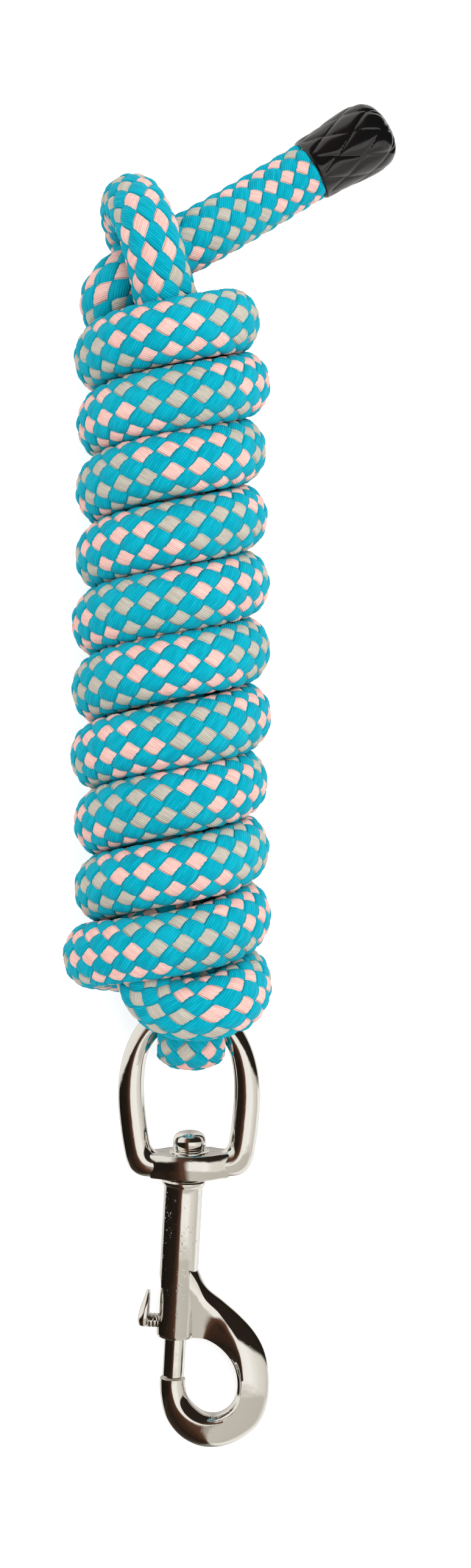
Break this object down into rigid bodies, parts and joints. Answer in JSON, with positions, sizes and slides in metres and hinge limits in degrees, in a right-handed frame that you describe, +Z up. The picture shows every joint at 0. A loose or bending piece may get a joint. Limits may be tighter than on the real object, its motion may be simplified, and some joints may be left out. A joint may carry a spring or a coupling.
{
  "type": "lead rope",
  "caption": "Braided lead rope wound into a hank for storage, with a swivel bolt snap at one end and a moulded cap at the other.",
  "frame": {"origin": "on the surface the hank lies on, under the middle of the wound turns", "axes": "+Y along the hank towards its tail, +Z up off the surface, +X to the right of the snap seen from above with the tail away from the viewer"},
  "size_m": [0.0957, 0.3926, 0.0585],
  "materials": {
    "rope": "soft braided yarn with pink and grey checks",
    "yarns": "undyed yarn",
    "ferrule": "crimped",
    "cap": "glossy, moulded plait relief",
    "plated": "bright nickel plate, slightly pitted",
    "spring": "drawn wire"
  },
  "bodies": {
    "rope": {"rope_turns": "rope", "core_standing_leg": "rope", "core_return_leg": "rope", "top_bight": "rope", "rope_tail": "rope", "core_yarns": "yarns", "eye_loop": "rope", "eye_short_end": "rope", "crimp_ferrule": "ferrule", "end_cap": "cap", "cap_whipping": "yarns", "tail_stub": "yarns"},
    "swivel_eye": {"swivel_eye": "plated"},
    "snap": {"snap_body": "plated", "swivel_rivet": "plated", "bolt_spring": "spring"},
    "bolt": {"bolt": "plated", "thumb_knob": "plated"}
  },
  "joints": [
    {"name": "eye_swing", "type": "hinge", "parent": "rope", "child": "swivel_eye", "pos_m": [0.0059, -0.1021, 0.021], "axis": [0.9985, -0.0549, 0], "range_deg": [-60, 60]},
    {"name": "swivel_spin", "type": "hinge", "parent": "swivel_eye", "child": "snap", "pos_m": [0.0059, -0.1021, 0.021], "axis": [0.0545, 0.9896, 0.1333], "continuous": true},
    {"name": "bolt_slide", "type": "slide", "parent": "snap", "child": "bolt", "axis": [0.0545, 0.9896, 0.1333], "range_m": [0, 0.011], "stiffness_N_per_m": 300, "springref_m": -0.01, "deforming": ["bolt_spring"]}
  ]
}
